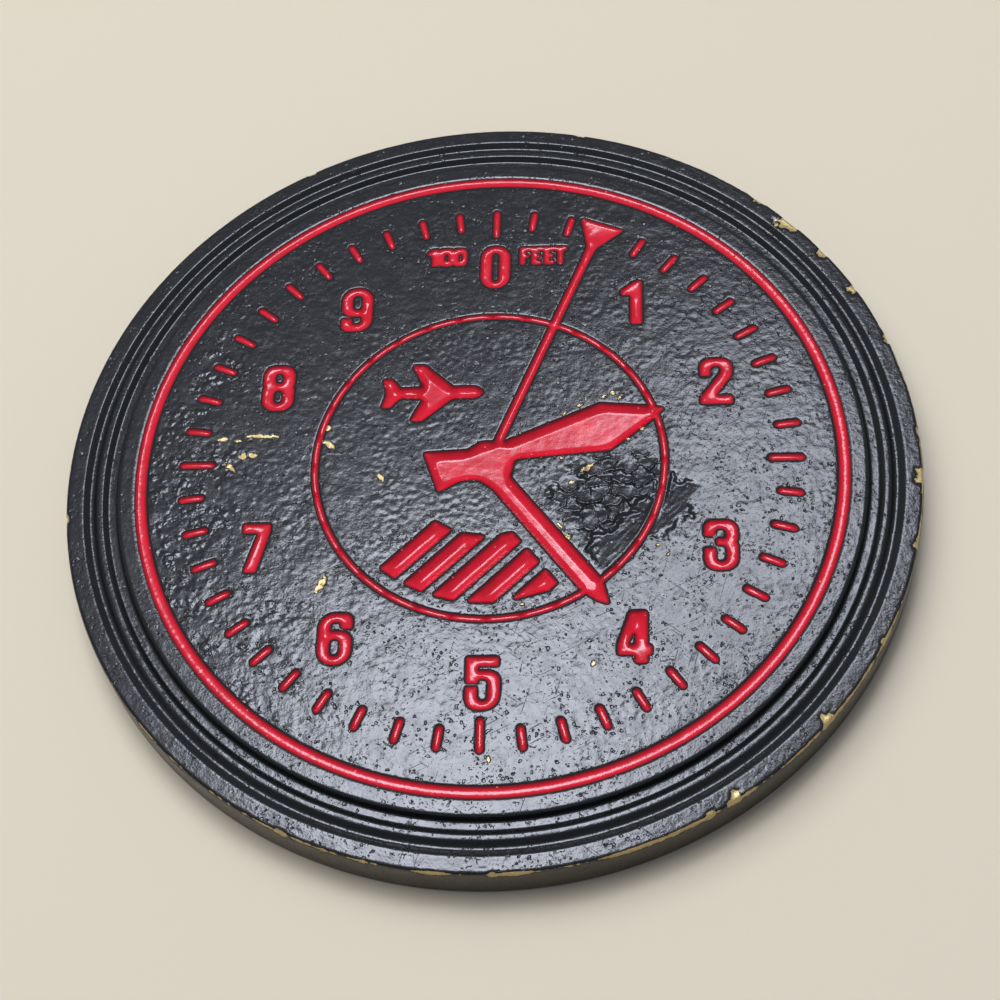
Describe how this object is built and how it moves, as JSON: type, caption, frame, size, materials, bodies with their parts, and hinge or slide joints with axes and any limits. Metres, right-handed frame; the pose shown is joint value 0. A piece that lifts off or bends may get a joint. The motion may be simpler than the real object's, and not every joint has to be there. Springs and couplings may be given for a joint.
{
  "type": "altimeter dial medallion",
  "caption": "Round struck medallion in the form of an altimeter dial, with a stepped rim, sunk figures and hands filled with red enamel, and a flat back.",
  "frame": {"origin": "middle of the flat back face", "axes": "+Z out of the dial face, +Y from the dial's middle towards the zero mark, +X towards the mark a quarter turn clockwise from it"},
  "size_m": [0.08, 0.08, 0.0048],
  "materials": {
    "black_lacquered_brass": "thick glossy black lacquer over brass, with an orange-peel surface, crackled in one patch and chipped to the brass",
    "red_enamel": "glossy soft enamel, sunk in its cells with a hollow surface"
  },
  "bodies": {
    "root": {"struck_disc": "black_lacquered_brass", "outer_ring": "red_enamel", "hands_and_inner_ring": "red_enamel", "numeral_0": "red_enamel", "numeral_1": "red_enamel", "numeral_2": "red_enamel", "numeral_3": "red_enamel", "numeral_4": "red_enamel", "numeral_5": "red_enamel", "numeral_6": "red_enamel", "numeral_7": "red_enamel", "numeral_8": "red_enamel", "numeral_9": "red_enamel", "legend_100": "red_enamel", "legend_feet": "red_enamel", "aircraft_emblem": "red_enamel", "warning_stripe_1": "red_enamel", "warning_stripe_2": "red_enamel", "warning_stripe_3": "red_enamel", "warning_stripe_4": "red_enamel", "warning_stripe_5": "red_enamel", "long_tick_0": "red_enamel", "long_tick_90": "red_enamel", "long_tick_180": "red_enamel", "long_tick_270": "red_enamel"}
  },
  "joints": []
}
